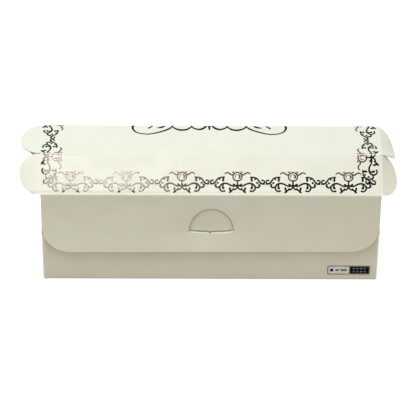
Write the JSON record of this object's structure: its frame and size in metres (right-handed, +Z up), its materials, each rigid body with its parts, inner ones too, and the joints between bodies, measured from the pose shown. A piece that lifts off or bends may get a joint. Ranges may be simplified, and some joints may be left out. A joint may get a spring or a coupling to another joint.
{
  "type": "hexagonal sweets box",
  "caption": "Shut paperboard sweets box with a hexagonal section, a hanging front flap with a half-moon lock, and half-round ears at both ends.",
  "frame": {"origin": "on the floor below the middle of the box's bounding box, ears and flap counted", "axes": "+X along the box, +Z up, and the front wall with the hanging flap faces -Y"},
  "size_m": [0.1996, 0.0596, 0.0732],
  "materials": {
    "paperboard": "warm white board with a satin surface"
  },
  "bodies": {
    "root": {"carton": "paperboard"}
  },
  "joints": []
}
